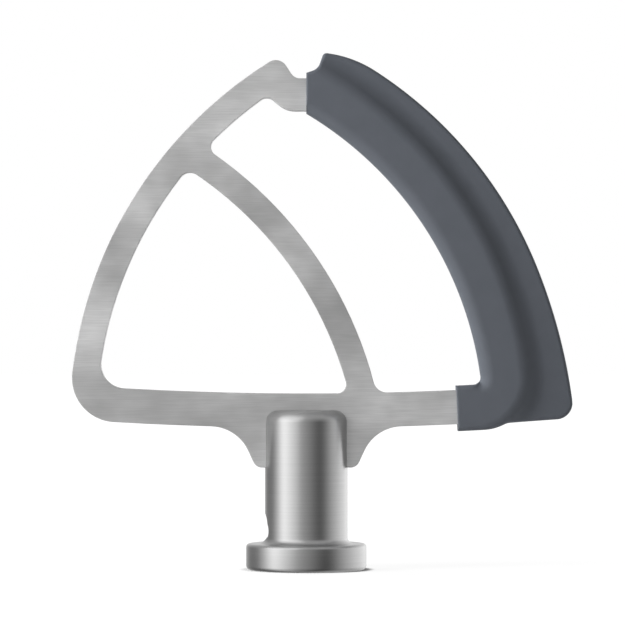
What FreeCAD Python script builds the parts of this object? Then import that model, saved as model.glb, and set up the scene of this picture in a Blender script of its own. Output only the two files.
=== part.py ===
"""Flat beater of a stand mixer, standing on the flange of its drive hub.

Millimetres. The origin is on the hub's axis at the flange's face, +Z runs up the axis, +X points at the flexible
edge and the plate lies in the XZ plane, centred on Y = 0.
"""
import FreeCAD
import Part
import math
import os

from FreeCAD import Vector

# Plate: one stainless blank with two limbs, a brace, a crossbar and a lug
plate_thickness = 5.5
limb_width = 8.25
left_limb_radius = 130.25
left_limb_angle = 120.28
left_limb_rise = 8.44
core_limb_radius = 121.75
core_limb_angle = 60.0
brace_x, brace_z = -98.95, 26.05
brace_radius = 123.75
crossbar_width = 10.45
crossbar_bow_radius = 1000.0
frame_corner_round = 13.6
left_window_corner_round = 7.4
core_window_corner_round = 4.2
left_window_apex_round = 3.6
left_window_brace_round = 2.8
right_window_brace_round = 4.3
right_window_limb_round = 3.0

# Neck: the level stretch of plate between the nose of the left limb and the flexible edge
neck_z = 145.87
neck_height = 10.05
neck_join_depth = 1.5
notch_setback = 3.7
notch_slope = 57.0
notch_round = 3.2
nose_round = 3.8
scallop_setback = 6.1
scallop_slope = 39.0
scallop_round = 3.0
neck_round = 8.0

# Lug: the trapezoid under the crossbar that sits in the hub's slot
lug_height = 12.25
lug_half_width = 15.45
lug_flank_slope = 65.3
lug_flare_round = 12.9
lug_corner_round = 2.9

# Hub: turned sleeve with a flange, a blind bore and a bayonet slot
hub_radius = 12.7
hub_top_round = 3.6
flange_radius = 18.5
flange_height = 8.0
flange_top_bevel = 0.7
flange_bottom_bevel = 0.8
hub_foot_bevel = 1.5
shaft_radius = 6.35
shaft_clearance = 0.15
bore_depth = 28.0
bore_end_wall = 3.4
bore_chamfer = 0.6
lug_slot_depth = 17.6
lug_seam = 0.05
pin_slot_width = 7.0
pin_slot_top_z = 17.3
pin_run_height = 7.6
pin_entry_angle = 90.0
pin_run_angle = 93.0

# Flexible edge: silicone moulded round the core limb, thick over the steel and thin at the fin
sleeve_wall = 2.0
sleeve_inner_wall = 1.6
cuff_top_wall = 1.35
cuff_bottom_wall = 2.15
sleeve_end_x = 0.0
sleeve_inner_round = 3.8
sleeve_corner_round = 2.2
cuff_length = 9.635
cuff_inner_round = 1.2
shoulder_margin = 1.6
crease_margin = 5.55
fin_root_margin = 10.45
shoulder_corner_radius = 18.3
shoulder_corner_margin = 4.07
shoulder_corner_sweep = 120.0
cuff_corner_round = 15.3
fin_root_thickness = 3.2
fin_taper = 3.5
fin_reach = 15.55
fin_reach_angle = 21.1
fin_lean = 1.0
fin_upper_radius = 129.0
fin_lower_radius = 171.2
fin_tip_radius = 35.6
fin_tip_angle = 57.2
fin_setback = 3.55
fin_end_slope = 71.0
fin_step_slope = 19.0
fin_foot_round = 3.5
fin_tip_round = 1.3
fin_lift = 1.6
fin_bottom_slope = 4.0
fin_corner_round = 5.1
fin_heel_round = 5.0


def heading(degrees):
    """Unit vector in the plate's plane, measured from +X towards +Z."""
    return Vector(math.cos(math.radians(degrees)), 0, math.sin(math.radians(degrees)))


def crossings(centre_a, radius_a, centre_b, radius_b):
    """The two points where circles of the plate's plane cross."""
    span = centre_b - centre_a
    gap = span.Length
    along = (gap ** 2 + radius_a ** 2 - radius_b ** 2) / (2 * gap)
    across = math.sqrt(radius_a ** 2 - along ** 2)
    unit = span / gap
    foot = centre_a + unit * along
    side = Vector(-unit.z, 0, unit.x) * across
    return [foot + side, foot - side]


def leftmost(points):
    return min(points, key=lambda point: point.x)


def rightmost(points):
    return max(points, key=lambda point: point.x)


def topmost(points):
    return max(points, key=lambda point: point.z)


# Sizes that follow, from the hub up to the plate
half_plate = plate_thickness / 2
bore_radius = shaft_radius + shaft_clearance
lug_bottom_z = bore_depth + bore_end_wall
hub_height = lug_bottom_z + lug_slot_depth
crossbar_bottom_z = lug_bottom_z + lug_height
crossbar_top_z = crossbar_bottom_z + crossbar_width
crossbar_centre = Vector(0, 0, crossbar_top_z + crossbar_bow_radius)
crossbar_bottom_radius = crossbar_bow_radius + crossbar_width
left_limb_inner = left_limb_radius - limb_width
core_limb_inner = core_limb_radius - limb_width
brace_inner = brace_radius - limb_width
brace_centre = Vector(brace_x, 0, brace_z)
neck_join_x = sleeve_end_x + neck_join_depth
neck_top_z = neck_z + neck_height / 2
neck_bottom_z = neck_z - neck_height / 2

# The limbs start at the neck: each arc's middle line leaves it square to its own heading
left_limb_start = Vector(sleeve_end_x - scallop_setback, 0, neck_z + left_limb_rise)
left_limb_centre = left_limb_start - heading(left_limb_angle) * (left_limb_radius - limb_width / 2)
core_limb_start = Vector(neck_join_x, 0, neck_z)
core_centre = core_limb_start - heading(core_limb_angle) * (core_limb_radius - limb_width / 2)

# The silicone follows the core limb and the crossbar's end
half_sleeve = half_plate + sleeve_wall
sleeve_inner = core_limb_inner - sleeve_inner_wall
crease_radius = core_limb_radius + crease_margin
cuff_top_radius = crossbar_bow_radius - cuff_top_wall
cuff_bottom_radius = crossbar_bottom_radius + cuff_bottom_wall
core_window_corner = rightmost(crossings(core_centre, core_limb_inner, crossbar_centre, crossbar_bow_radius))
cuff_tilt = math.degrees(math.asin((core_window_corner.x - cuff_length) / crossbar_bow_radius))
turn_centre = rightmost(crossings(
    core_centre, crease_radius - shoulder_corner_radius,
    crossbar_centre, crossbar_bottom_radius + shoulder_corner_margin - shoulder_corner_radius))
tolerance = 1e-4


def disc(centre, radius, thickness):
    start = Vector(centre.x, -thickness / 2, centre.z)
    return Part.makeCylinder(radius, thickness, start, Vector(0, 1, 0))


def slab(wire, thickness):
    """A flat outline in the plate's plane, thickened equally to both sides."""
    face = Part.Face(wire)
    face.translate(Vector(0, -thickness / 2, 0))
    return face.extrude(Vector(0, thickness, 0))


def polygon_slab(corners, thickness):
    return slab(Part.makePolygon([*corners, corners[0]]), thickness)


def line_exit(start, degrees, centre, radius):
    """Where a line from a point inside a circle leaves it."""
    ray = heading(degrees)
    offset = start - centre
    along = offset.dot(ray)
    return start + ray * (math.sqrt(along ** 2 - offset.dot(offset) + radius ** 2) - along)


def round_corners(solid, corners):
    """Rounds the upright edge that is nearest to each corner point."""
    for point, radius in corners:
        upright = [
            edge for edge in solid.Edges
            if len(edge.Vertexes) == 2
            and abs(abs(edge.Vertexes[1].Y - edge.Vertexes[0].Y) - edge.Length) < tolerance
        ]
        nearest = min(upright, key=lambda edge: (edge.CenterOfMass - point).Length)
        solid = solid.makeFillet(radius, [nearest])
    return solid


def round_with_ends(solid, edges):
    """Rounds edges, each given by its number and the radius at its first and last end."""
    document = FreeCAD.newDocument()
    base = document.addObject("Part::Feature", "base")
    base.Shape = solid
    rounded = document.addObject("Part::Fillet", "rounded")
    rounded.Base = base
    rounded.Edges = edges
    document.recompute()
    shape = rounded.Shape.copy()
    FreeCAD.closeDocument(document.Name)
    return shape


def build_blade_frame():
    thickness = plate_thickness
    notch_corner = Vector(sleeve_end_x - notch_setback, 0, neck_top_z)
    nose_corner = line_exit(notch_corner, 180 - notch_slope, left_limb_centre, left_limb_radius)
    scallop_foot = Vector(sleeve_end_x - scallop_setback, 0, neck_bottom_z)
    scallop_corner = line_exit(scallop_foot, 180 - scallop_slope, left_limb_centre, left_limb_inner)

    left_outer = disc(left_limb_centre, left_limb_radius, thickness)
    left_inner = disc(left_limb_centre, left_limb_inner, thickness)
    core_outer = disc(core_centre, core_limb_radius, thickness)
    above_bottom = disc(crossbar_centre, crossbar_bottom_radius, thickness)
    arch = left_outer.common(core_outer).common(above_bottom)

    opening = left_inner.common(disc(core_centre, core_limb_inner, thickness))
    opening = opening.common(disc(crossbar_centre, crossbar_bow_radius, thickness))
    brace = disc(brace_centre, brace_radius, thickness).cut(disc(brace_centre, brace_inner, thickness))
    plate = arch.cut(opening.cut(brace))

    # The left limb runs past the arch to its nose, and the notch steps down from there to the neck
    reach = neck_height + limb_width
    nose_box = polygon_slab([
        Vector(notch_corner.x - reach, 0, neck_z),
        Vector(notch_corner.x, 0, neck_z),
        Vector(notch_corner.x, 0, neck_z + 2 * reach),
        Vector(notch_corner.x - reach, 0, neck_z + 2 * reach),
    ], thickness)
    plate = plate.fuse(left_outer.cut(left_inner).common(nose_box))
    neck = polygon_slab([
        scallop_foot,
        scallop_foot + heading(180 - scallop_slope) * reach / 2,
        notch_corner,
        Vector(neck_join_x + reach, 0, neck_top_z),
        Vector(neck_join_x + reach, 0, neck_bottom_z),
    ], thickness).common(core_outer)
    notch = polygon_slab([
        notch_corner,
        notch_corner + heading(180 - notch_slope) * 2 * reach,
        notch_corner + Vector(2 * reach, 0, 2 * reach),
        notch_corner + Vector(2 * reach, 0, 0),
    ], 2 * thickness)
    plate = plate.fuse(neck).cut(notch)

    lug_rise = crossbar_top_z - lug_bottom_z - crossbar_width / 2
    lug_spread = lug_rise / math.tan(math.radians(lug_flank_slope))
    lug = polygon_slab([
        Vector(-lug_half_width, 0, lug_bottom_z),
        Vector(lug_half_width, 0, lug_bottom_z),
        Vector(lug_half_width + lug_spread, 0, lug_bottom_z + lug_rise),
        Vector(-lug_half_width - lug_spread, 0, lug_bottom_z + lug_rise),
    ], thickness)
    plate = plate.fuse(lug).removeSplitter()

    flare_x = lug_half_width + lug_spread * (crossbar_bottom_z - lug_bottom_z) / lug_rise
    crossbar_bottom = (crossbar_centre, crossbar_bottom_radius)
    crossbar_top = (crossbar_centre, crossbar_bow_radius)
    left_inside = (left_limb_centre, left_limb_inner)
    return round_corners(plate, [
        (leftmost(crossings(left_limb_centre, left_limb_radius, *crossbar_bottom)), frame_corner_round),
        (rightmost(crossings(core_centre, core_limb_radius, *crossbar_bottom)), frame_corner_round),
        (leftmost(crossings(*left_inside, *crossbar_top)), left_window_corner_round),
        (core_window_corner, core_window_corner_round),
        (topmost(crossings(*left_inside, brace_centre, brace_inner)), left_window_apex_round),
        (rightmost(crossings(brace_centre, brace_inner, *crossbar_top)), left_window_brace_round),
        (rightmost(crossings(brace_centre, brace_radius, *crossbar_top)), right_window_brace_round),
        (topmost(crossings(*left_inside, brace_centre, brace_radius)), right_window_limb_round),
        (nose_corner, nose_round),
        (notch_corner, notch_round),
        (scallop_corner, scallop_round),
        (scallop_foot, neck_round),
        (Vector(-flare_x, 0, crossbar_bottom_z), lug_flare_round),
        (Vector(flare_x, 0, crossbar_bottom_z), lug_flare_round),
        (Vector(-lug_half_width, 0, lug_bottom_z), lug_corner_round),
        (Vector(lug_half_width, 0, lug_bottom_z), lug_corner_round),
    ])


def build_drive_hub():
    profile = [
        Vector(0, 0, bore_depth),
        Vector(bore_radius, 0, bore_depth),
        Vector(bore_radius, 0, bore_chamfer),
        Vector(bore_radius + bore_chamfer, 0, 0),
        Vector(flange_radius - flange_bottom_bevel, 0, 0),
        Vector(flange_radius, 0, flange_bottom_bevel),
        Vector(flange_radius, 0, flange_height - flange_top_bevel),
        Vector(flange_radius - flange_top_bevel, 0, flange_height),
        Vector(hub_radius + hub_foot_bevel, 0, flange_height),
        Vector(hub_radius, 0, flange_height + hub_foot_bevel),
        Vector(hub_radius, 0, hub_height - hub_top_round),
    ]
    round_centre = Vector(hub_radius - hub_top_round, 0, hub_height - hub_top_round)
    top_round = [round_centre + heading(angle) * hub_top_round for angle in (0, 45, 90)]
    edges = [Part.makeLine(a, b) for a, b in zip(profile, profile[1:])]
    edges += [
        Part.Arc(*top_round).toShape(),
        Part.makeLine(top_round[-1], Vector(0, 0, hub_height)),
        Part.makeLine(Vector(0, 0, hub_height), profile[0]),
    ]
    hub = Part.Face(Part.Wire(edges)).revolve(Vector(0, 0, 0), Vector(0, 0, 1), 360)

    slot = Part.makeBox(
        2 * flange_radius, plate_thickness + 2 * lug_seam, hub_height,
        Vector(-flange_radius, -half_plate - lug_seam, lug_bottom_z))
    return hub.cut(slot).cut(pin_slot())


def pin_slot():
    """Bayonet slot: straight in from the rim, then round the hub to a rounded seat for the shaft's pin."""
    past_flange = 1.5 * flange_radius
    half_width = pin_slot_width / 2
    entry_top = pin_slot_top_z - half_width
    entry = Part.makeBox(
        past_flange, pin_slot_width, entry_top + half_width,
        Vector(0, -half_width, -half_width))
    entry = entry.fuse(Part.makeCylinder(half_width, past_flange, Vector(0, 0, entry_top), Vector(1, 0, 0)))
    seat_radius = pin_run_height / 2
    seat_z = pin_slot_top_z - seat_radius
    past_hub = hub_radius + hub_foot_bevel
    run = Part.makeCylinder(past_hub, pin_run_height, Vector(0, 0, seat_z - seat_radius), Vector(0, 0, 1),
                            pin_run_angle)
    seat = Part.makeCylinder(seat_radius, past_hub, Vector(0, 0, seat_z), Vector(1, 0, 0))
    seat.rotate(Vector(0, 0, 0), Vector(0, 0, 1), pin_run_angle)
    slot = entry.fuse(run).fuse(seat)
    slot.rotate(Vector(0, 0, 0), Vector(0, 0, 1), pin_entry_angle)
    return slot


def shoulder_cut(centre, inset, start, sweep):
    """What lies in front of the silicone's shoulder and fin, turned about an axis through the centre.

    The section is a flat sleeve face, a rounded shoulder, a hollow below the crease and a tapering fin. The inset
    is how much nearer to this axis than to the core limb's axis the section lies.
    """
    def at(margin, half):
        return Vector(core_limb_radius + margin - inset, -half, 0)

    def bend(begin, end, level):
        """Arc that starts or ends parallel to the plate at the level point."""
        other = end if level is begin else begin
        run, drop = other.x - level.x, other.y - level.y
        radius = (run ** 2 + drop ** 2) / (2 * drop)
        turn = math.atan2(abs(run), abs(radius - drop))
        middle = level + Vector(
            math.copysign(abs(radius) * math.sin(turn / 2), run), radius * (1 - math.cos(turn / 2)), 0)
        return Part.Arc(begin, middle, end).toShape()

    half_root = fin_root_thickness / 2
    share = (crease_margin - shoulder_margin) / (fin_root_margin - shoulder_margin)
    shoulder = at(shoulder_margin, half_sleeve)
    crease = at(crease_margin, half_sleeve + (half_root - half_sleeve) * share)
    root = at(fin_root_margin, half_root)
    past_fin = fin_reach + fin_root_margin
    edge_half = half_root - (past_fin - fin_root_margin) * math.tan(math.radians(fin_taper))
    edge = at(past_fin, edge_half)
    corners = [edge, at(past_fin, 2 * half_sleeve), at(shoulder_margin, 2 * half_sleeve), shoulder]
    edges = [bend(shoulder, crease, shoulder), bend(crease, root, root), Part.makeLine(root, edge)]
    edges += [Part.makeLine(a, b) for a, b in zip(corners, corners[1:])]
    section = Part.Face(Part.Wire(edges))
    section.translate(centre)
    section.rotate(centre, Vector(0, -1, 0), start)
    return section.revolve(centre, Vector(0, -1, 0), sweep)


def fin_outline():
    """Outer edge of the fin as tangent arcs, closed well inside the sleeve and past the fin's ends."""
    joint_angle = fin_reach_angle + fin_lean
    joint = core_centre + heading(fin_reach_angle) * (core_limb_radius + fin_reach)
    upper_centre = joint - heading(joint_angle) * fin_upper_radius
    lower_centre = joint - heading(joint_angle) * fin_lower_radius
    tip_joint = upper_centre + heading(fin_tip_angle) * fin_upper_radius
    tip_centre = tip_joint - heading(fin_tip_angle) * fin_tip_radius

    def arc(centre, radius, begin, end):
        points = [centre + heading(angle) * radius for angle in (begin, (begin + end) / 2, end)]
        return Part.Arc(*points).toShape()

    edges = [
        arc(tip_centre, fin_tip_radius, 120, fin_tip_angle),
        arc(upper_centre, fin_upper_radius, fin_tip_angle, joint_angle),
        arc(lower_centre, fin_lower_radius, joint_angle, -joint_angle),
    ]
    ends = [edges[-1].lastVertex().Point, core_centre, edges[0].firstVertex().Point]
    edges += [Part.makeLine(a, b) for a, b in zip(ends, ends[1:])]
    return Part.Wire(edges), lower_centre


def cuff_end_point(radius):
    """Point of the cuff's end, which lies square across the bowed crossbar."""
    return crossbar_centre + heading(cuff_tilt - 90) * radius


def flex_blank():
    """Outline of the silicone at its full thickness: sleeve, cuff and fin, before the shoulder is shaped."""
    thickness = 2 * half_sleeve
    cuff_bottom = (crossbar_centre, cuff_bottom_radius)
    cuff_top = (crossbar_centre, cuff_top_radius)

    # Sleeve and cuff: a band round the core limb and one round the crossbar's end
    sleeve = disc(core_centre, crease_radius, thickness).common(disc(*cuff_bottom, thickness))
    sleeve = sleeve.cut(disc(core_centre, sleeve_inner, thickness).common(disc(*cuff_top, thickness)))
    cuff_corner = rightmost(crossings(core_centre, crease_radius, *cuff_bottom))
    sleeve = round_corners(sleeve, [(cuff_corner, cuff_corner_round)])

    # Fin: inside its outline, above its bottom edge and to the right of its upper end
    outline, lower_centre = fin_outline()
    fin = slab(outline, thickness).cut(disc(core_centre, core_limb_inner, thickness))
    core_right = core_centre.x + core_limb_radius
    bottom_start = Vector(core_right, 0, crossbar_bottom_z + fin_lift)
    bottom_run = heading(fin_bottom_slope) * 3 * fin_reach
    depth = Vector(0, 0, core_limb_radius)
    below = polygon_slab([
        bottom_start - bottom_run,
        bottom_start + bottom_run,
        bottom_start + bottom_run - depth,
        bottom_start - bottom_run - depth,
    ], thickness)
    blank = sleeve.fuse(fin.cut(below))

    # Ends: square across the neck and the crossbar, with a step from the sleeve up to the fin
    sleeve_top = Vector(sleeve_end_x, 0, neck_top_z + sleeve_inner_wall)
    step_rise = math.tan(math.radians(fin_step_slope)) * fin_setback
    fin_foot = sleeve_top + Vector(fin_setback, 0, step_rise)
    clear = 4 * fin_reach
    end_step = polygon_slab([
        fin_foot,
        fin_foot + heading(fin_end_slope) * clear,
        sleeve_top + Vector(-clear, 0, clear),
        sleeve_top - (fin_foot - sleeve_top) * clear / fin_setback,
    ], thickness)
    right_of_end = Part.makeBox(
        2 * core_limb_radius, thickness, 2 * core_limb_radius, Vector(sleeve_end_x, -half_sleeve, 0))
    cuff_above = cuff_end_point(crossbar_bow_radius - crossbar_width)
    cuff_below = cuff_end_point(crossbar_bottom_radius + crossbar_width)
    left_of_cuff = polygon_slab([
        cuff_above,
        cuff_below,
        Vector(sleeve_end_x, 0, cuff_below.z),
        Vector(sleeve_end_x, 0, cuff_above.z),
    ], thickness)
    blank = blank.common(right_of_end).cut(end_step).cut(left_of_cuff).removeSplitter()

    corner_centre = rightmost(crossings(
        core_centre, crease_radius - cuff_corner_round, crossbar_centre, cuff_bottom_radius - cuff_corner_round))
    under_corner = bottom_start - heading(fin_bottom_slope) * (core_right - corner_centre.x)
    return round_corners(blank, [
        (rightmost(crossings(core_centre, sleeve_inner, *cuff_top)), sleeve_corner_round),
        (line_exit(bottom_start, fin_bottom_slope, lower_centre, fin_lower_radius), fin_corner_round),
        (line_exit(under_corner, fin_bottom_slope, corner_centre, cuff_corner_round), fin_heel_round),
        (fin_foot, fin_foot_round),
        (line_exit(fin_foot, fin_end_slope, core_centre, core_limb_radius + fin_root_margin), fin_tip_round),
    ])


def round_window_side(blank):
    """Rounds the silicone's edges round the window, wide along the limb and narrow along the cuff."""
    def end_round(point):
        flat = Vector(point.x, 0, point.z)
        if abs((flat - core_centre).Length - sleeve_inner) < tolerance:
            return sleeve_inner_round
        if abs((flat - crossbar_centre).Length - cuff_top_radius) < tolerance:
            return cuff_inner_round
        return 0

    rows = []
    for number, edge in enumerate(blank.Edges, 1):
        first, last = (edge.valueAt(parameter) for parameter in edge.ParameterRange)
        if abs(last.y - first.y) < tolerance and end_round(first) and end_round(last):
            rows.append((number, end_round(first), end_round(last)))
    return round_with_ends(blank, rows)


def build_flex_edge(blade_frame):
    flex = round_window_side(flex_blank())
    turn_inset = crease_radius - shoulder_corner_radius
    turn = turn_centre - core_centre
    turn_angle = math.degrees(math.atan2(turn.z, turn.x))
    front = shoulder_cut(core_centre, 0, turn_angle, 90 - turn_angle)
    front = front.fuse(shoulder_cut(turn_centre, turn_inset, turn_angle, -shoulder_corner_sweep))
    flex = flex.cut(front).cut(front.mirror(Vector(0, 0, 0), Vector(0, 1, 0)))
    return flex.cut(blade_frame)


os.makedirs("parts", exist_ok=True)
blade_frame = build_blade_frame()
drive_hub = build_drive_hub()
flex_edge = build_flex_edge(blade_frame)
for name, solid in (("blade_frame", blade_frame), ("drive_hub", drive_hub), ("flex_edge", flex_edge)):
    print(name, len(solid.Solids), solid.isValid(), round(solid.Volume, 1))
    solid.exportStep(f"parts/{name}.step")
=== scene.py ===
"""Looks of a stand mixer's flat beater: turned hub, brushed plate and silicone edge, in a white studio."""
import bmesh
import bpy
import math
import numpy as np

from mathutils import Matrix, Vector


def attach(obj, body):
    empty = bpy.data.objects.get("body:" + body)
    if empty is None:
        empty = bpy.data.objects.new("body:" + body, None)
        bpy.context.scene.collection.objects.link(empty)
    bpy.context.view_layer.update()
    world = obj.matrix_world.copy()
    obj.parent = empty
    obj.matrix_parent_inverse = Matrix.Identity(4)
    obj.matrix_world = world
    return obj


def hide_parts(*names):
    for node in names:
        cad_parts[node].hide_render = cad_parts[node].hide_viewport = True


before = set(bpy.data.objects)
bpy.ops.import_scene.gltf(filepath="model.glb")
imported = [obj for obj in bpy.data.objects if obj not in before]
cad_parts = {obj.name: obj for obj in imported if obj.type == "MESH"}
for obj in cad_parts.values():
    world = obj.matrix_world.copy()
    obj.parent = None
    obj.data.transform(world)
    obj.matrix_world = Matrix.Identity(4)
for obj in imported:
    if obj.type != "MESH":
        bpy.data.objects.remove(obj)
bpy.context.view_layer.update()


# Drive hub: the socket that slides over the mixer's shaft, turned from stainless bar to a fine finish.
# A cross slot in its top takes the plate's lug, and a bayonet slot in its side locks on the shaft's pin.
MM = 0.001  # a piece's sizes are in millimetres and degrees
hub_radius = 12.7
hub_height = 49.0
hub_top_round = 3.6
hub_foot_round = 2.0
flange_radius = 18.5
flange_height = 8.0
flange_top_round = 1.1
flange_bottom_round = 1.3
bore_radius = 6.5
bore_depth = 28.0
bore_chamfer = 0.6
lug_slot_bottom = 31.4
lug_slot_width = 5.6
pin_slot_width = 7.0
pin_slot_top = 17.3
pin_run_height = 7.6
pin_run_reach = 15.725
pin_seat_turn = 3
pin_rest_turn = 1
pin_rest_length = 10.0
pin_rest_drop = 1.5
ring_length = 50.0
ring_pitch = 0.35
groove_strength = 0.05
groove_depth = 0.02
merge_distance = 0.001
hub_segments = 192
slot_segments = 48
round_steps = 8
hub_sharp_angle = 25


def linear(srgb_hex):
    """The linear colour of an sRGB hex value."""
    channels = [int(srgb_hex[i:i + 2], 16) / 255 for i in (1, 3, 5)]
    return *[c / 12.92 if c <= 0.04045 else ((c + 0.055) / 1.055) ** 2.4 for c in channels], 1


def add_node(tree, kind, inputs=None, **settings):
    """Adds a node with its settings. Each input gets a value, or a link from another node's output."""
    node = tree.nodes.new(kind)
    for name, value in settings.items():
        setattr(node, name, value)
    for socket, value in (inputs or {}).items():
        if isinstance(value, bpy.types.NodeSocket):
            tree.links.new(value, node.inputs[socket])
        else:
            node.inputs[socket].default_value = value
    return node


def new_material(name):
    """A new material with its node tree and its shader."""
    material = bpy.data.materials.new(name)
    material.use_nodes = True
    return material, material.node_tree, material.node_tree.nodes["Principled BSDF"]


def per_mm(x, y, z):
    """Mapping scale that makes one unit of a pattern this many millimetres long along each axis."""
    return tuple(1 / (size * MM) for size in (x, y, z))


# Turned stainless: its rings draw each reflection out into bright and dark upright bands.
# They are drawn coarser than a lathe leaves them, so that they show
turned_steel, tree, shader = new_material("turned_stainless_steel")
shader.inputs["Metallic"].default_value = 1
shader.inputs["Anisotropic"].default_value = 0.6
shader.inputs["Anisotropic Rotation"].default_value = 0.25
place = add_node(tree, "ShaderNodeTexCoord").outputs["Object"]
ring_place = add_node(tree, "ShaderNodeMapping", {
    "Vector": place, "Scale": per_mm(ring_length, ring_length, ring_pitch)})
rings = add_node(tree, "ShaderNodeTexNoise", {"Vector": ring_place.outputs[0], "Scale": 1, "Detail": 3})
tone = add_node(tree, "ShaderNodeMix", {
    "Factor": rings.outputs["Fac"], "A": linear("#A4A4A4"), "B": linear("#B8B8B8")}, data_type="RGBA")
gloss = add_node(tree, "ShaderNodeMapRange", {"Value": rings.outputs["Fac"], "To Min": 0.3, "To Max": 0.4})
grooves = add_node(tree, "ShaderNodeBump", {
    "Height": rings.outputs["Fac"], "Strength": groove_strength, "Distance": groove_depth * MM})
around = add_node(tree, "ShaderNodeTangent", axis="Z", direction_type="RADIAL")
tree.links.new(tone.outputs["Result"], shader.inputs["Base Color"])
tree.links.new(gloss.outputs[0], shader.inputs["Roughness"])
tree.links.new(grooves.outputs[0], shader.inputs["Normal"])
tree.links.new(around.outputs[0], shader.inputs["Tangent"])

# The lathe turns a profile round the bore: each corner carries its round as the curve point's radius
profile_corners = [
    (0, bore_depth, 0),
    (bore_radius, bore_depth, 0),
    (bore_radius, bore_chamfer, 0),
    (bore_radius + bore_chamfer, 0, 0),
    (flange_radius, 0, flange_bottom_round),
    (flange_radius, flange_height, flange_top_round),
    (hub_radius, flange_height, hub_foot_round),
    (hub_radius, hub_height, hub_top_round),
    (0, hub_height, 0),
]
profile = bpy.data.curves.new("hub_profile", "CURVE")
profile.dimensions = "3D"
spline = profile.splines.new("POLY")
spline.points.add(len(profile_corners) - 1)
for point, (radius, height, corner_round) in zip(spline.points, profile_corners):
    point.co = (radius * MM - bore_radius * MM, -height * MM, 0, 1)
    point.radius = corner_round * MM
profile_object = bpy.data.objects.new("hub_profile", profile)
scene = bpy.context.scene
scene.collection.objects.link(profile_object)


def beside_axis(turn, height):
    """Middle of a rod that runs from the hub's axis out to the left, turned towards the front."""
    reach = pin_run_reach / 2
    return -reach * math.cos(math.radians(turn)), -reach * math.sin(math.radians(turn)), height


# Cutters for the slots, each a unit cube or rod with its size, its place and its turn about X, Y and Z.
# The pin enters at the back, runs round to the left and settles in an oblong rest on the flange's side
pin_entry_top = pin_slot_top - pin_slot_width / 2
pin_seat_height = pin_slot_top - pin_run_height / 2
cutter_reach = 2 * flange_radius
cutters = {
    "Lug Slot": (
        "cube", (cutter_reach, lug_slot_width, cutter_reach),
        (0, 0, lug_slot_bottom + cutter_reach / 2), (0, 0, 0)),
    "Pin Entry": (
        "cube", (pin_slot_width, flange_radius, cutter_reach),
        (0, flange_radius / 2, pin_entry_top - cutter_reach / 2), (0, 0, 0)),
    "Pin Entry End": (
        "rod", (pin_slot_width, pin_slot_width, flange_radius),
        (0, flange_radius / 2, pin_entry_top), (90, 0, 0)),
    "Pin Run": (
        "cube", (pin_run_reach, pin_run_reach, pin_run_height),
        (-pin_run_reach / 2, pin_run_reach / 2, pin_seat_height), (0, 0, 0)),
    "Pin Seat": (
        "rod", (pin_run_height, pin_run_height, pin_run_reach),
        beside_axis(pin_seat_turn, pin_seat_height), (0, 90, pin_seat_turn)),
    "Pin Rest": (
        "rod", (pin_run_height, pin_rest_length, pin_run_reach),
        beside_axis(pin_rest_turn, pin_seat_height - pin_rest_drop), (0, 90, pin_rest_turn)),
}

lathe = bpy.data.node_groups.new("hub_lathe", "GeometryNodeTree")
lathe.interface.new_socket("Profile", in_out="INPUT", socket_type="NodeSocketGeometry")
lathe_sizes = {"Bore Radius": ("NodeSocketFloat", bore_radius * MM)}
for name, (_, size, place, turn) in cutters.items():
    lathe_sizes[f"{name} Size"] = "NodeSocketVector", [value * MM for value in size]
    lathe_sizes[f"{name} Place"] = "NodeSocketVector", [value * MM for value in place]
    lathe_sizes[f"{name} Turn"] = "NodeSocketRotation", [math.radians(value) for value in turn]
lathe_inputs = {
    name: lathe.interface.new_socket(name, in_out="INPUT", socket_type=kind)
    for name, (kind, _) in lathe_sizes.items()}
lathe.interface.new_socket("Hub", in_out="OUTPUT", socket_type="NodeSocketGeometry")
given = add_node(lathe, "NodeGroupInput").outputs
corner_rounds = add_node(lathe, "GeometryNodeInputRadius")
rounded = add_node(lathe, "GeometryNodeFilletCurve", {
    "Curve": given["Profile"], "Radius": corner_rounds.outputs[0], "Limit Radius": True,
    "Count": round_steps}, mode="POLY")
round_bore = add_node(lathe, "GeometryNodeCurvePrimitiveCircle", {
    "Resolution": hub_segments, "Radius": given["Bore Radius"]}, mode="RADIUS")
turned = add_node(lathe, "GeometryNodeCurveToMesh", {
    "Curve": round_bore.outputs["Curve"], "Profile Curve": rounded.outputs[0]})
solid = add_node(lathe, "GeometryNodeMergeByDistance", {
    "Geometry": turned.outputs[0], "Distance": merge_distance * MM})
for name, (shape, _, _, _) in cutters.items():
    if shape == "cube":
        blank = add_node(lathe, "GeometryNodeMeshCube")
    else:
        blank = add_node(lathe, "GeometryNodeMeshCylinder", {
            "Vertices": slot_segments, "Radius": 0.5, "Depth": 1})
    cutter = add_node(lathe, "GeometryNodeTransform", {
        "Geometry": blank.outputs["Mesh"], "Scale": given[f"{name} Size"],
        "Translation": given[f"{name} Place"], "Rotation": given[f"{name} Turn"]})
    solid = add_node(lathe, "GeometryNodeMeshBoolean", {
        "Mesh 1": solid.outputs[0], "Mesh 2": cutter.outputs[0]}, operation="DIFFERENCE", solver="EXACT")
realized = add_node(lathe, "GeometryNodeRealizeInstances", {"Geometry": solid.outputs[0]})
finished = add_node(lathe, "GeometryNodeSetMaterial", {
    "Geometry": realized.outputs[0], "Material": turned_steel})
add_node(lathe, "NodeGroupOutput", {"Hub": finished.outputs[0]})


def smooth_by_angle(mesh, degrees):
    """Smooth shading, with a sharp edge where two faces meet at more than this angle."""
    mesh.shade_smooth()
    mesh.set_sharp_from_angle(angle=math.radians(degrees))


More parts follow.
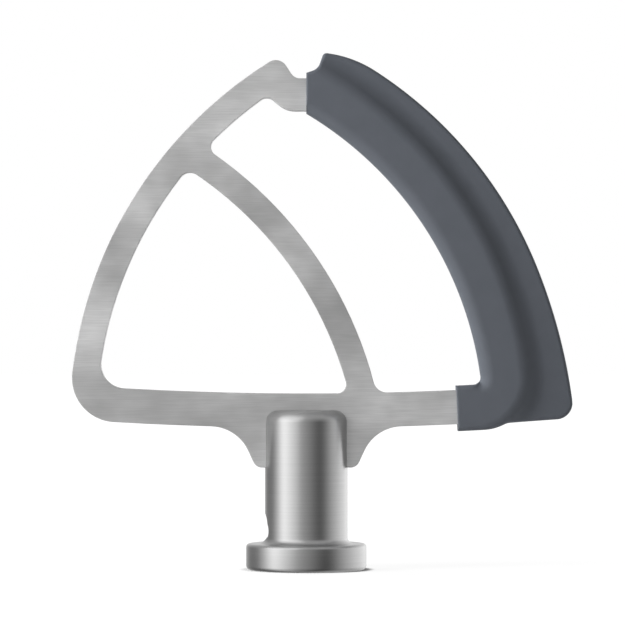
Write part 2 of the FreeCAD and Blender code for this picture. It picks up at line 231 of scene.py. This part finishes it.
modifier = profile_object.modifiers.new("lathe", "NODES")
modifier.node_group = lathe
for name, socket in lathe_inputs.items():
    modifier[socket.identifier] = lathe_sizes[name][1]
depsgraph = bpy.context.evaluated_depsgraph_get()
hub_mesh = bpy.data.meshes.new_from_object(profile_object.evaluated_get(depsgraph), depsgraph=depsgraph)
bpy.data.objects.remove(profile_object)
smooth_by_angle(hub_mesh, hub_sharp_angle)
hub = bpy.data.objects.new("turned_hub", hub_mesh)
scene.collection.objects.link(hub)
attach(hub, "root")
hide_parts("drive_hub")


# Blade frame: one stainless blank with two limbs, a brace, a crossbar and a lug, cut out and brushed level.
# The lug is welded in the hub's slot, and the right limb is the core inside the silicone.
plate_edge_round = 0.2
plate_round_steps = 2
plate_round_angle = 40
plate_sharp_angle = 30
flat_angle = 0.2
streak_length = 9.0
streak_width = 0.3
tangent_lean = 0.2
drift_sheen_low = 0.3
drift_sheen_high = 0.7
# Drifts of the brushing, which also stand in for the plate's uneven reflection as painted reflection: a
# patch's length, width and slant, where its noise starts, and the darkest tone
drifts_and_sheen = [
    (36.0, 20.0, 10, (1.73, -1.43, -1.05), "#DCDCDC"),
    (18.0, 12.0, 0, (1.73, -0.21, 0.27), "#DFDFDF"),
]


def merged_copy(node):
    """A CAD node's mesh with its loose triangles joined and its flat faces made whole."""
    shape = bmesh.new()
    shape.from_mesh(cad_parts[node].data)
    bmesh.ops.remove_doubles(shape, verts=shape.verts, dist=merge_distance * MM)
    bmesh.ops.dissolve_limit(
        shape, angle_limit=math.radians(flat_angle), verts=shape.verts, edges=shape.edges)
    mesh = bpy.data.meshes.new(node)
    shape.to_mesh(mesh)
    shape.free()
    return mesh


# Brushed stainless: a satin of level hairlines that blurs reflections and scatters part of the light evenly,
# with soft lighter and darker drifts that are partly the brushing's tone and partly painted reflection. The
# hairlines are drawn coarser than real ones, so that they show
brushed_steel, tree, shader = new_material("brushed_stainless_steel")
shader.inputs["Metallic"].default_value = 0.8
shader.inputs["Anisotropic"].default_value = 0.2
place = add_node(tree, "ShaderNodeTexCoord").outputs["Object"]
hairline_place = add_node(tree, "ShaderNodeMapping", {
    "Vector": place, "Scale": per_mm(streak_length, streak_length, streak_width)})
hairlines = add_node(tree, "ShaderNodeTexNoise", {
    "Vector": hairline_place.outputs[0], "Scale": 1, "Detail": 4})
plate_tone_and_sheen = add_node(tree, "ShaderNodeMix", {
    "Factor": hairlines.outputs["Fac"], "A": linear("#DCDCDC"), "B": linear("#FFFFFF")}, data_type="RGBA")
# Each drift multiplies soft darker patches into the base colour: partly the brushing's own tone, partly
# painted reflection
for length, width, slant, start, darkest in drifts_and_sheen:
    patch_place = add_node(tree, "ShaderNodeMapping", {
        "Vector": place, "Location": start, "Rotation": (0, math.radians(-slant), 0),
        "Scale": (length * MM, length * MM, width * MM)}, vector_type="TEXTURE")
    patches = add_node(tree, "ShaderNodeTexNoise", {
        "Vector": patch_place.outputs[0], "Scale": 1, "Detail": 2})
    lightness = add_node(tree, "ShaderNodeMapRange", {
        "Value": patches.outputs["Fac"], "From Min": drift_sheen_low, "From Max": drift_sheen_high})
    tone = add_node(tree, "ShaderNodeMix", {
        "Factor": lightness.outputs[0], "A": linear(darkest), "B": linear("#FFFFFF")}, data_type="RGBA")
    plate_tone_and_sheen = add_node(tree, "ShaderNodeMix", {
        "Factor": 1, "A": plate_tone_and_sheen.outputs["Result"], "B": tone.outputs["Result"]},
        data_type="RGBA", blend_type="MULTIPLY")
gloss = add_node(tree, "ShaderNodeMapRange", {
    "Value": hairlines.outputs["Fac"], "To Min": 0.64, "To Max": 0.72})
grooves = add_node(tree, "ShaderNodeBump", {
    "Height": hairlines.outputs["Fac"], "Strength": groove_strength, "Distance": groove_depth * MM})
# Across the hairlines, with a lean that gives level faces a tangent too
across = add_node(tree, "ShaderNodeCombineXYZ", {"X": 0, "Y": tangent_lean, "Z": 1})
tree.links.new(plate_tone_and_sheen.outputs["Result"], shader.inputs["Base Color"])
tree.links.new(gloss.outputs[0], shader.inputs["Roughness"])
tree.links.new(grooves.outputs[0], shader.inputs["Normal"])
tree.links.new(across.outputs[0], shader.inputs["Tangent"])

plate_mesh = merged_copy("blade_frame")
smooth_by_angle(plate_mesh, plate_sharp_angle)
plate_mesh.materials.append(brushed_steel)
plate = bpy.data.objects.new("brushed_plate", plate_mesh)
scene.collection.objects.link(plate)
edge_round = plate.modifiers.new("edge_round", "BEVEL")
edge_round.width = plate_edge_round * MM
edge_round.segments = plate_round_steps
edge_round.limit_method = "ANGLE"
edge_round.angle_limit = math.radians(plate_round_angle)
edge_round.harden_normals = True
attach(plate, "root")
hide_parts("blade_frame")


# Flexible edge: grey silicone moulded round the plate's right limb, thick over the steel, thin at the fin.
# It grips the neck at its upper end and the crossbar's end at its cuff, and the fin wipes the bowl.
# A place is its X and Z in the plate's plane, and the arcs follow the limb, the bowed crossbar and the fin.
core_centre = np.array((-57.3125, 44.0038))
core_radius = 121.75
sleeve_inner = 111.9
half_sleeve = 4.75
bow_centre = np.array((0.0, 1054.1))
bow_radius = 1000.0
cuff_top_radius = 998.65
cuff_bottom_radius = 1012.6
cuff_end_x = 46.0
sleeve_corner_round = 2.2
cuff_corner_round = 15.3
shoulder_margin = 1.6
crease_margin = 5.55
root_margin = 10.45
half_root = 1.6
fin_taper = 3.5
turn_centre = np.array((50.64, 59.17))
turn_radius = 18.3
turn_sweep = 120
sleeve_top = np.array((0.0, 152.495))
step_slope = 19
fin_setback = 3.55
fin_end_slope = 71
fin_foot_round = 3.5
fin_tip_round = 1.3
fin_reach = 15.55
fin_reach_angle = 21.1
fin_joint_angle = 22.1
fin_upper_radius = 129.0
fin_lower_radius = 171.2
fin_tip_radius = 35.6
fin_tip_angle = 57.2
fin_bottom_start = np.array((64.44, 45.25))
fin_bottom_slope = 4
fin_corner_round = 5.1
fin_heel_round = 5.0
window_rim_round = 3.8
cuff_rim_round = 1.2
fin_rim_round = 1.0
end_rim_round = 0.5
half_rim_flat = 0.15
mottle_size = 6.0
grain_size = 0.35
grain_strength = 0.15
grain_depth = 0.05
silicone_sharp_angle = 40


def heading(degrees):
    return np.array((math.cos(math.radians(degrees)), math.sin(math.radians(degrees))))


def angle_of(vector):
    return math.degrees(math.atan2(vector[1], vector[0]))


def straight(point, degrees):
    """A straight edge through a point: an arc too large to bend, with its centre on the right."""
    far = 1e6
    return point + heading(degrees - 90) * far, far


def crossing(arc_a, arc_b, near):
    """The crossing of two circles that lies nearer to a point."""
    (centre_a, radius_a), (centre_b, radius_b) = arc_a, arc_b
    span = centre_b - centre_a
    gap = np.linalg.norm(span)
    along = (gap ** 2 + radius_a ** 2 - radius_b ** 2) / (2 * gap)
    across = math.sqrt(max(radius_a ** 2 - along ** 2, 0))
    unit = span / gap
    foot = centre_a + unit * along
    side = np.array((-unit[1], unit[0])) * across
    return min(foot + side, foot - side, key=lambda point: np.linalg.norm(point - near))


def toward(arc, point):
    """The point of an arc's circle that lies towards another point."""
    centre, radius = arc
    return centre + (point - centre) / np.linalg.norm(point - centre) * radius


def arc_points(centre, radius, begin, end, clockwise, spacing):
    """Points along an arc from its begin to its end, no further apart than the spacing."""
    first, last = angle_of(begin - centre), angle_of(end - centre)
    turn = (first - last) % 360 if clockwise else (last - first) % 360
    count = max(2, math.ceil(math.radians(turn) * radius / spacing))
    sign = -1 if clockwise else 1
    return [centre + heading(first + sign * turn * i / count) * radius for i in range(count + 1)]


def rounded_edge(start, arcs, joints, end, spacing=0.25):
    """Points along arcs that all bend to the right. A joint is its place and its round: above 0 for a corner
    that stands out, below 0 for one that goes in, and 0 where the arcs already run on smoothly."""
    points, begin = [], start
    for i, (centre, radius) in enumerate(arcs):
        if i == len(joints):
            points += arc_points(centre, radius, begin, end, True, spacing)
            break
        near, corner_round = joints[i]
        following = arcs[i + 1]
        if corner_round == 0:
            points += arc_points(centre, radius, begin, near, True, spacing)
            begin = near
            continue
        middle = crossing(
            (centre, radius - corner_round), (following[0], following[1] - corner_round), near)
        leave, begin_next = toward((centre, radius), middle), toward(following, middle)
        points += arc_points(centre, radius, begin, leave, True, spacing)
        points += arc_points(middle, abs(corner_round), leave, begin_next, corner_round > 0, spacing)
        begin = begin_next
    kept = [points[0]]
    for point in points[1:]:
        if np.linalg.norm(point - kept[-1]) > spacing / 10:
            kept.append(point)
    return np.array(kept)


# Outline: the side that lines the window, and the side with the step, the fin and the cuff's corner
inner_arc = core_centre, sleeve_inner
cuff_top = bow_centre, cuff_top_radius
cuff_bottom = bow_centre, cuff_bottom_radius
cuff_tilt = math.degrees(math.asin(cuff_end_x / bow_radius))
inner_corner = crossing(inner_arc, cuff_top, turn_centre)
inner_start = crossing(inner_arc, straight(sleeve_top, 90), sleeve_top)
inner_edge = rounded_edge(
    inner_start, [inner_arc, cuff_top], [(inner_corner, sleeve_corner_round)],
    bow_centre + heading(cuff_tilt - 90) * cuff_top_radius)

fin_foot = sleeve_top + heading(step_slope) * fin_setback / math.cos(math.radians(step_slope))
fin_joint = core_centre + heading(fin_reach_angle) * (core_radius + fin_reach)
upper_arc = fin_joint - heading(fin_joint_angle) * fin_upper_radius, fin_upper_radius
lower_arc = fin_joint - heading(fin_joint_angle) * fin_lower_radius, fin_lower_radius
tip_joint = upper_arc[0] + heading(fin_tip_angle) * fin_upper_radius
tip_arc = tip_joint - heading(fin_tip_angle) * fin_tip_radius, fin_tip_radius
fin_end = straight(fin_foot, fin_end_slope)
fin_bottom = straight(fin_bottom_start, 180 + fin_bottom_slope)
crease_radius = core_radius + crease_margin
cuff_corner = crossing(
    (core_centre, crease_radius - cuff_corner_round), (bow_centre, cuff_bottom_radius - cuff_corner_round),
    fin_bottom_start), cuff_corner_round
fin_corner = crossing(lower_arc, fin_bottom, fin_bottom_start + heading(fin_bottom_slope) * fin_reach)
outer_edge = rounded_edge(
    sleeve_top,
    [straight(sleeve_top, step_slope), fin_end, tip_arc, upper_arc, lower_arc, fin_bottom, cuff_corner,
     cuff_bottom],
    [(fin_foot, -fin_foot_round),
     (crossing(fin_end, tip_arc, fin_foot + heading(fin_end_slope) * fin_setback), fin_tip_round),
     (tip_joint, 0),
     (fin_joint, 0),
     (fin_corner, fin_corner_round),
     (crossing(fin_bottom, cuff_corner, fin_bottom_start), -fin_heel_round),
     (toward(cuff_bottom, cuff_corner[0]), 0)],
    bow_centre + heading(cuff_tilt - 90) * cuff_bottom_radius)


def on_window(bearing):
    """The place on the window's side of the sleeve at this bearing from the limb's centre."""
    return core_centre + heading(bearing) * sleeve_inner


def spread(path, marks, counts):
    """Points along a path, evenly spaced between its marked places."""
    along = np.concatenate(([0], np.cumsum(np.linalg.norm(np.diff(path, axis=0), axis=1))))
    stops = [along[np.argmin(np.linalg.norm(path - mark, axis=1))] for mark in marks]
    runs = [np.linspace(a, b, count, endpoint=False) for a, b, count in zip(stops, stops[1:], counts)]
    places = np.concatenate(runs + [stops[-1:]])
    return np.stack([np.interp(places, along, path[:, axis]) for axis in (0, 1)], 1)


# Lines across: a place on each side's edge where a line ends, and the count of lines from there to the next
step_bearing = 58.7
foot_bearing = 57.0
tip_bearing = 54.5
limb_low_bearing = 12
corner_bearing = 8.6
step_run = np.array((1.0, 0.3))
foot_run = 1.5
tip_line_angle = 72
fin_corner_rise = np.array((0.0, 4.5))
inner_corner_run = np.array((-3.0, 0))
cuff_line_angle = -80
cuff_end_run = np.array((1.0, 0))
matched_places = [
    (inner_edge[0], outer_edge[0], 10),
    (on_window(step_bearing), outer_edge[0] + step_run, 24),
    (on_window(foot_bearing), fin_foot + heading(fin_end_slope) * foot_run, 26),
    (on_window(tip_bearing), tip_arc[0] + heading(tip_line_angle) * fin_tip_radius, 120),
    (on_window(limb_low_bearing), core_centre + heading(limb_low_bearing) * (core_radius + fin_reach), 16),
    (on_window(corner_bearing), fin_corner + fin_corner_rise, 56),
    (inner_corner, fin_bottom_start, 30),
    (inner_corner + inner_corner_run, cuff_corner[0] + heading(cuff_line_angle) * cuff_corner_round, 12),
    (inner_edge[-1] + cuff_end_run, outer_edge[-1] + cuff_end_run, 10),
    (inner_edge[-1], outer_edge[-1], 1),
]
inner_marks, outer_marks, counts = zip(*matched_places)
inner_ends = spread(inner_edge, inner_marks, counts)
outer_ends = spread(outer_edge, outer_marks, counts)

# Places along each line: close together at both rims, where the edges are rounded
near_inner = np.array((0, 0.06, 0.2, 0.4, 0.7, 1.05, 1.5, 2.0, 2.6, 3.3, 4.1))
near_outer = np.array((1.7, 1.3, 1.0, 0.72, 0.48, 0.28, 0.13, 0.04, 0))
middle_count = 40
rows = []
for begin, end in zip(inner_ends, outer_ends):
    length = np.linalg.norm(end - begin)
    places = np.concatenate((
        near_inner,
        np.linspace(near_inner[-1], length - near_outer[0], middle_count + 2)[1:-1],
        length - near_outer)) / length
    rows.append(begin + np.outer(places, end - begin))
plan = np.array(rows)
line_count, place_count = plan.shape[:2]
flat = plan.reshape(-1, 2)

# Margin: how far a place lies outside the steel limb. Below the limb it is taken from the turn's centre, so
# that the section swings round the corner, and past the turn it is 0. An angle above 90 has gone past -180
from_core = flat - core_centre
from_turn = flat - turn_centre
turn_start = angle_of(turn_centre - core_centre)
below_turn = np.degrees(np.arctan2(from_core[:, 1], from_core[:, 0])) < turn_start
turn_angles = np.degrees(np.arctan2(from_turn[:, 1], from_turn[:, 0]))
past_turn = below_turn & ((turn_angles < turn_start - turn_sweep) | (turn_angles > 90))
margin = np.where(
    below_turn,
    np.linalg.norm(from_turn, axis=1) - turn_radius + crease_margin,
    np.linalg.norm(from_core, axis=1) - core_radius)
margin[past_turn] = 0


def bend_radius(run, drop):
    """Radius of an arc that starts level and falls by the drop over the run."""
    return (run ** 2 + drop ** 2) / (2 * drop)


# Half thickness: level over the steel, a round shoulder, a hollow below the crease and a tapering fin
crease_share = (crease_margin - shoulder_margin) / (root_margin - shoulder_margin)
half_crease = half_sleeve + (half_root - half_sleeve) * crease_share
shoulder_bend = bend_radius(crease_margin - shoulder_margin, half_sleeve - half_crease)
root_bend = bend_radius(root_margin - crease_margin, half_crease - half_root)
on_shoulder = np.clip(margin - shoulder_margin, 0, crease_margin - shoulder_margin)
on_root = np.clip(root_margin - margin, 0, root_margin - crease_margin)
half = np.select(
    [margin <= crease_margin, margin <= root_margin],
    [half_sleeve - shoulder_bend + np.sqrt(shoulder_bend ** 2 - on_shoulder ** 2),
     half_root + root_bend - np.sqrt(root_bend ** 2 - on_root ** 2)],
    half_root - (margin - root_margin) * math.tan(math.radians(fin_taper)))


def distance_to(path):
    """Shortest distance from each place to a path of straight steps."""
    steps = np.diff(path, axis=0)
    offset = flat[:, None] - path[:-1]
    along = np.clip((offset * steps).sum(2) / (steps ** 2).sum(1), 0, 1)
    return np.sqrt(((offset - along[..., None] * steps) ** 2).sum(2).min(1))


# Rounded rims: wide along the window, narrow along the cuff, the fin and the two ends.
# Every second or third point of an edge is close enough to measure from
corner_index = np.argmin(np.linalg.norm(inner_edge - inner_corner, axis=1))
cuff_index = np.argmin(np.linalg.norm(outer_edge - toward(cuff_bottom, cuff_corner[0]), axis=1))
rims = [
    (inner_edge[:corner_index + 1:3], window_rim_round),
    (inner_edge[corner_index::2], cuff_rim_round),
    (outer_edge[:cuff_index + 1:2], fin_rim_round),
    (outer_edge[cuff_index::2], cuff_rim_round),
    (np.array((inner_edge[0], outer_edge[0])), end_rim_round),
    (np.array((inner_edge[-1], outer_edge[-1])), end_rim_round),
]
rounded_half = half.copy()
for path, rim_round in rims:
    reach = np.minimum(rim_round, half - half_rim_flat)
    inset = np.clip(reach - distance_to(path), 0, None)
    rounded_half = np.minimum(rounded_half, half - reach + np.sqrt(np.maximum(reach ** 2 - inset ** 2, 0)))

# Front, back and the strip between them all round
front = [(x * MM, -y * MM, z * MM) for (x, z), y in zip(flat, rounded_half)]
back = [(x, -y, z) for x, y, z in front]
front_count = len(front)
faces = []
for i in range(line_count - 1):
    for j in range(place_count - 1):
        here = i * place_count + j
        quad = [here, here + place_count, here + place_count + 1, here + 1]
        faces.append(quad)
        faces.append([front_count + k for k in reversed(quad)])
rim = [i * place_count for i in range(line_count)]
rim += [(line_count - 1) * place_count + j for j in range(1, place_count)]
rim += [i * place_count + place_count - 1 for i in range(line_count - 2, -1, -1)]
rim += list(range(place_count - 2, 0, -1))
faces += [[b, a, front_count + a, front_count + b] for a, b in zip(rim, rim[1:] + rim[:1])]
blank_mesh = bpy.data.meshes.new("silicone_edge")
blank_mesh.from_pydata(front + back, [], faces)

# Moulded silicone: matte blue-grey, with a faint mottle and a soft sheen where it turns away.
# The skin's grain is drawn coarser than a mould leaves it, so that it shows
silicone, tree, shader = new_material("moulded_silicone")
shader.inputs["IOR"].default_value = 1.41
place = add_node(tree, "ShaderNodeTexCoord").outputs["Object"]
mottle_place = add_node(tree, "ShaderNodeMapping", {
    "Vector": place, "Scale": per_mm(mottle_size, mottle_size, mottle_size)})
mottle = add_node(tree, "ShaderNodeTexNoise", {"Vector": mottle_place.outputs[0], "Scale": 1, "Detail": 3})
grain_place = add_node(tree, "ShaderNodeMapping", {
    "Vector": place, "Scale": per_mm(grain_size, grain_size, grain_size)})
grain = add_node(tree, "ShaderNodeTexNoise", {"Vector": grain_place.outputs[0], "Scale": 1, "Detail": 2})
tone = add_node(tree, "ShaderNodeMix", {
    "Factor": mottle.outputs["Fac"], "A": linear("#5F646B"), "B": linear("#676B73")}, data_type="RGBA")
gloss = add_node(tree, "ShaderNodeMapRange", {
    "Value": mottle.outputs["Fac"], "To Min": 0.5, "To Max": 0.62})
skin = add_node(tree, "ShaderNodeBump", {
    "Height": grain.outputs["Fac"], "Strength": grain_strength, "Distance": grain_depth * MM})
tree.links.new(tone.outputs["Result"], shader.inputs["Base Color"])
tree.links.new(gloss.outputs[0], shader.inputs["Roughness"])
tree.links.new(skin.outputs[0], shader.inputs["Normal"])
blank_mesh.materials.append(silicone)

# The limb's own outline is taken out of the silicone, so that the two meet face to face
blank = bpy.data.objects.new("silicone_blank", blank_mesh)
limb = bpy.data.objects.new("limb_cutter", merged_copy("blade_frame"))
for piece in (blank, limb):
    scene.collection.objects.link(piece)
cavity = blank.modifiers.new("cavity", "BOOLEAN")
cavity.operation = "DIFFERENCE"
cavity.solver = "EXACT"
cavity.object = limb
depsgraph = bpy.context.evaluated_depsgraph_get()
flex_mesh = bpy.data.meshes.new_from_object(blank.evaluated_get(depsgraph), depsgraph=depsgraph)
for piece in (blank, limb):
    bpy.data.objects.remove(piece)
smooth_by_angle(flex_mesh, silicone_sharp_angle)
flex = bpy.data.objects.new("silicone_edge", flex_mesh)
scene.collection.objects.link(flex)
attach(flex, "root")
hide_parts("flex_edge")


# Studio: a floor of white paper and two softboxes on the left, a tall one in front and a lower one behind.
# A third, above the front left, shows only in gloss, and metal mirrors a room of light and dark bands.
# Lengths here are in metres, and lamps in watts.
floor_size = 8.0
half_floor = floor_size / 2
floor_mesh = bpy.data.meshes.new("floor")
floor_corners = [(x * half_floor, y * half_floor, 0) for x, y in ((-1, -1), (1, -1), (1, 1), (-1, 1))]
floor_mesh.from_pydata(floor_corners, [], [(0, 1, 2, 3)])
floor = bpy.data.objects.new("floor", floor_mesh)
scene.collection.objects.link(floor)
floor.visible_glossy = False

# White paper: the real shade under the flange, a faint shadow round it and a clean white further out
flange_reach = flange_radius * MM
contact_reach = 0.003
white_reach = 0.3
far_shadow_share = 0.15
paper_glow = 1.08
white_paper, tree, shader = new_material("white_paper_sweep")
shader.inputs["Base Color"].default_value = linear("#F2F2F2")
shader.inputs["Roughness"].default_value = 0.9
shader.inputs["Specular IOR Level"].default_value = 0
place = add_node(tree, "ShaderNodeTexCoord").outputs["Object"]
away = add_node(tree, "ShaderNodeVectorMath", {0: place}, operation="LENGTH")
far = add_node(tree, "ShaderNodeMapRange", {
    "Value": away.outputs["Value"], "From Min": flange_reach, "From Max": white_reach,
    "To Min": 1 - far_shadow_share, "To Max": 1}, interpolation_type="SMOOTHSTEP")
clear = add_node(tree, "ShaderNodeMapRange", {
    "Value": away.outputs["Value"], "From Min": flange_reach, "From Max": flange_reach + contact_reach,
    "To Min": 0, "To Max": far.outputs[0]}, interpolation_type="SMOOTHSTEP")
ray = add_node(tree, "ShaderNodeLightPath").outputs
glow = add_node(tree, "ShaderNodeEmission", {"Color": (1, 1, 1, 1), "Strength": paper_glow})
seen = add_node(tree, "ShaderNodeMath", {
    0: ray["Is Camera Ray"], 1: clear.outputs[0]}, operation="MULTIPLY")
sheet = add_node(tree, "ShaderNodeMixShader", {
    0: seen.outputs[0], 1: shader.outputs[0], 2: glow.outputs[0]})
tree.links.new(sheet.outputs[0], tree.nodes["Material Output"].inputs["Surface"])
floor_mesh.materials.append(white_paper)

# The room that metal mirrors, by bearing and tone: 0 is behind the object, 0.25 right, 0.5 behind the camera
# and 0.75 left. It turns to an even ceiling higher up, and darkens below in place of the floor
room_tones = [
    (0.0, 1.0), (0.1, 1.75), (0.2, 1.45), (0.289, 0.85), (0.36, 0.2), (0.394, 0.07), (0.43, 0.19),
    (0.472, 0.42), (0.55, 0.76), (0.61, 1.5), (0.683, 2.45), (0.74, 1.15), (0.8, 0.36), (0.88, 0.34),
    (0.95, 0.8), (1.0, 1.0),
]
ceiling_tone = 0.65
ceiling_start = 0.15
ceiling_full = 0.65
floor_tone = 0.45
floor_full = -0.5
ambient = 0.12
world = bpy.data.worlds.new("white_studio")
scene.world = world
world.use_nodes = True
tree = world.node_tree
sight = add_node(tree, "ShaderNodeTexCoord").outputs["Generated"]
direction = add_node(tree, "ShaderNodeSeparateXYZ", {0: sight}).outputs
bearing = add_node(tree, "ShaderNodeMath", {0: direction["X"], 1: direction["Y"]}, operation="ARCTAN2")
turns = add_node(tree, "ShaderNodeMath", {0: bearing.outputs[0], 1: math.tau}, operation="DIVIDE")
turn_share = add_node(tree, "ShaderNodeMath", {0: turns.outputs[0]}, operation="FRACT")
room = add_node(tree, "ShaderNodeValToRGB", {0: turn_share.outputs[0]})
ramp = room.color_ramp
while len(ramp.elements) < len(room_tones):
    ramp.elements.new(0.5)
for stop, (position, level) in zip(ramp.elements, room_tones):
    stop.position = position
    stop.color = (level, level, level, 1)
upward = add_node(tree, "ShaderNodeMapRange", {
    "Value": direction["Z"], "From Min": ceiling_start, "From Max": ceiling_full})
roofed = add_node(tree, "ShaderNodeMix", {
    "Factor": upward.outputs[0], "A": room.outputs[0], "B": (ceiling_tone, ceiling_tone, ceiling_tone, 1)},
    data_type="RGBA")
downward = add_node(tree, "ShaderNodeMapRange", {
    "Value": direction["Z"], "From Min": floor_full, "From Max": 0, "To Min": floor_tone, "To Max": 1})
shaded = add_node(tree, "ShaderNodeVectorMath", {
    0: roofed.outputs["Result"], "Scale": downward.outputs[0]}, operation="SCALE")
ray = add_node(tree, "ShaderNodeLightPath").outputs
surroundings = add_node(tree, "ShaderNodeMix", {
    "Factor": ray["Is Diffuse Ray"], "A": shaded.outputs[0], "B": (ambient, ambient, ambient, 1)},
    data_type="RGBA")
backdrop = add_node(tree, "ShaderNodeMix", {
    "Factor": ray["Is Camera Ray"], "A": surroundings.outputs["Result"], "B": (1, 1, 1, 1)},
    data_type="RGBA")
tree.links.new(backdrop.outputs["Result"], tree.nodes["Background"].inputs["Color"])


def softbox(name, place, target, width, height, power):
    """A rectangular lamp at a place, turned to its target and hidden from the camera."""
    light = bpy.data.lights.new(name, "AREA")
    light.shape = "RECTANGLE"
    light.size = width
    light.size_y = height
    light.energy = power
    lamp = bpy.data.objects.new(name, light)
    lamp.location = place
    lamp.rotation_euler = (Vector(target) - Vector(place)).to_track_quat("-Z", "Y").to_euler()
    lamp.visible_camera = False
    scene.collection.objects.link(lamp)
    return lamp


left_box = softbox(
    "left_softbox", place=(-1.0, -0.45, 0.6), target=(0, 0, 0.08), width=0.5, height=0.8, power=15.2)
left_box.visible_glossy = False
front_box = softbox(
    "front_softbox", place=(-0.4, -0.3, 0.42), target=(0, 0, 0.1), width=0.8, height=0.6, power=1.3)
front_box.visible_diffuse = False
rear_box = softbox(
    "rear_softbox", place=(-0.9, 0.7, 0.35), target=(0, 0, 0.09), width=0.6, height=0.5, power=9)
rear_box.visible_glossy = False

# Camera: level with the beater's middle and far back, as the photo's nearly parallel view shows
camera_data = bpy.data.cameras.new("camera")
camera_data.sensor_width = 36
camera_data.lens = 243.5
camera_data.clip_end = 20
camera = bpy.data.objects.new("camera", camera_data)
camera.location = (0.0019, -1.3, 0.079)
camera.rotation_euler = (math.radians(90), 0, 0)
scene.collection.objects.link(camera)
scene.camera = camera
scene.view_settings.view_transform = "Standard"
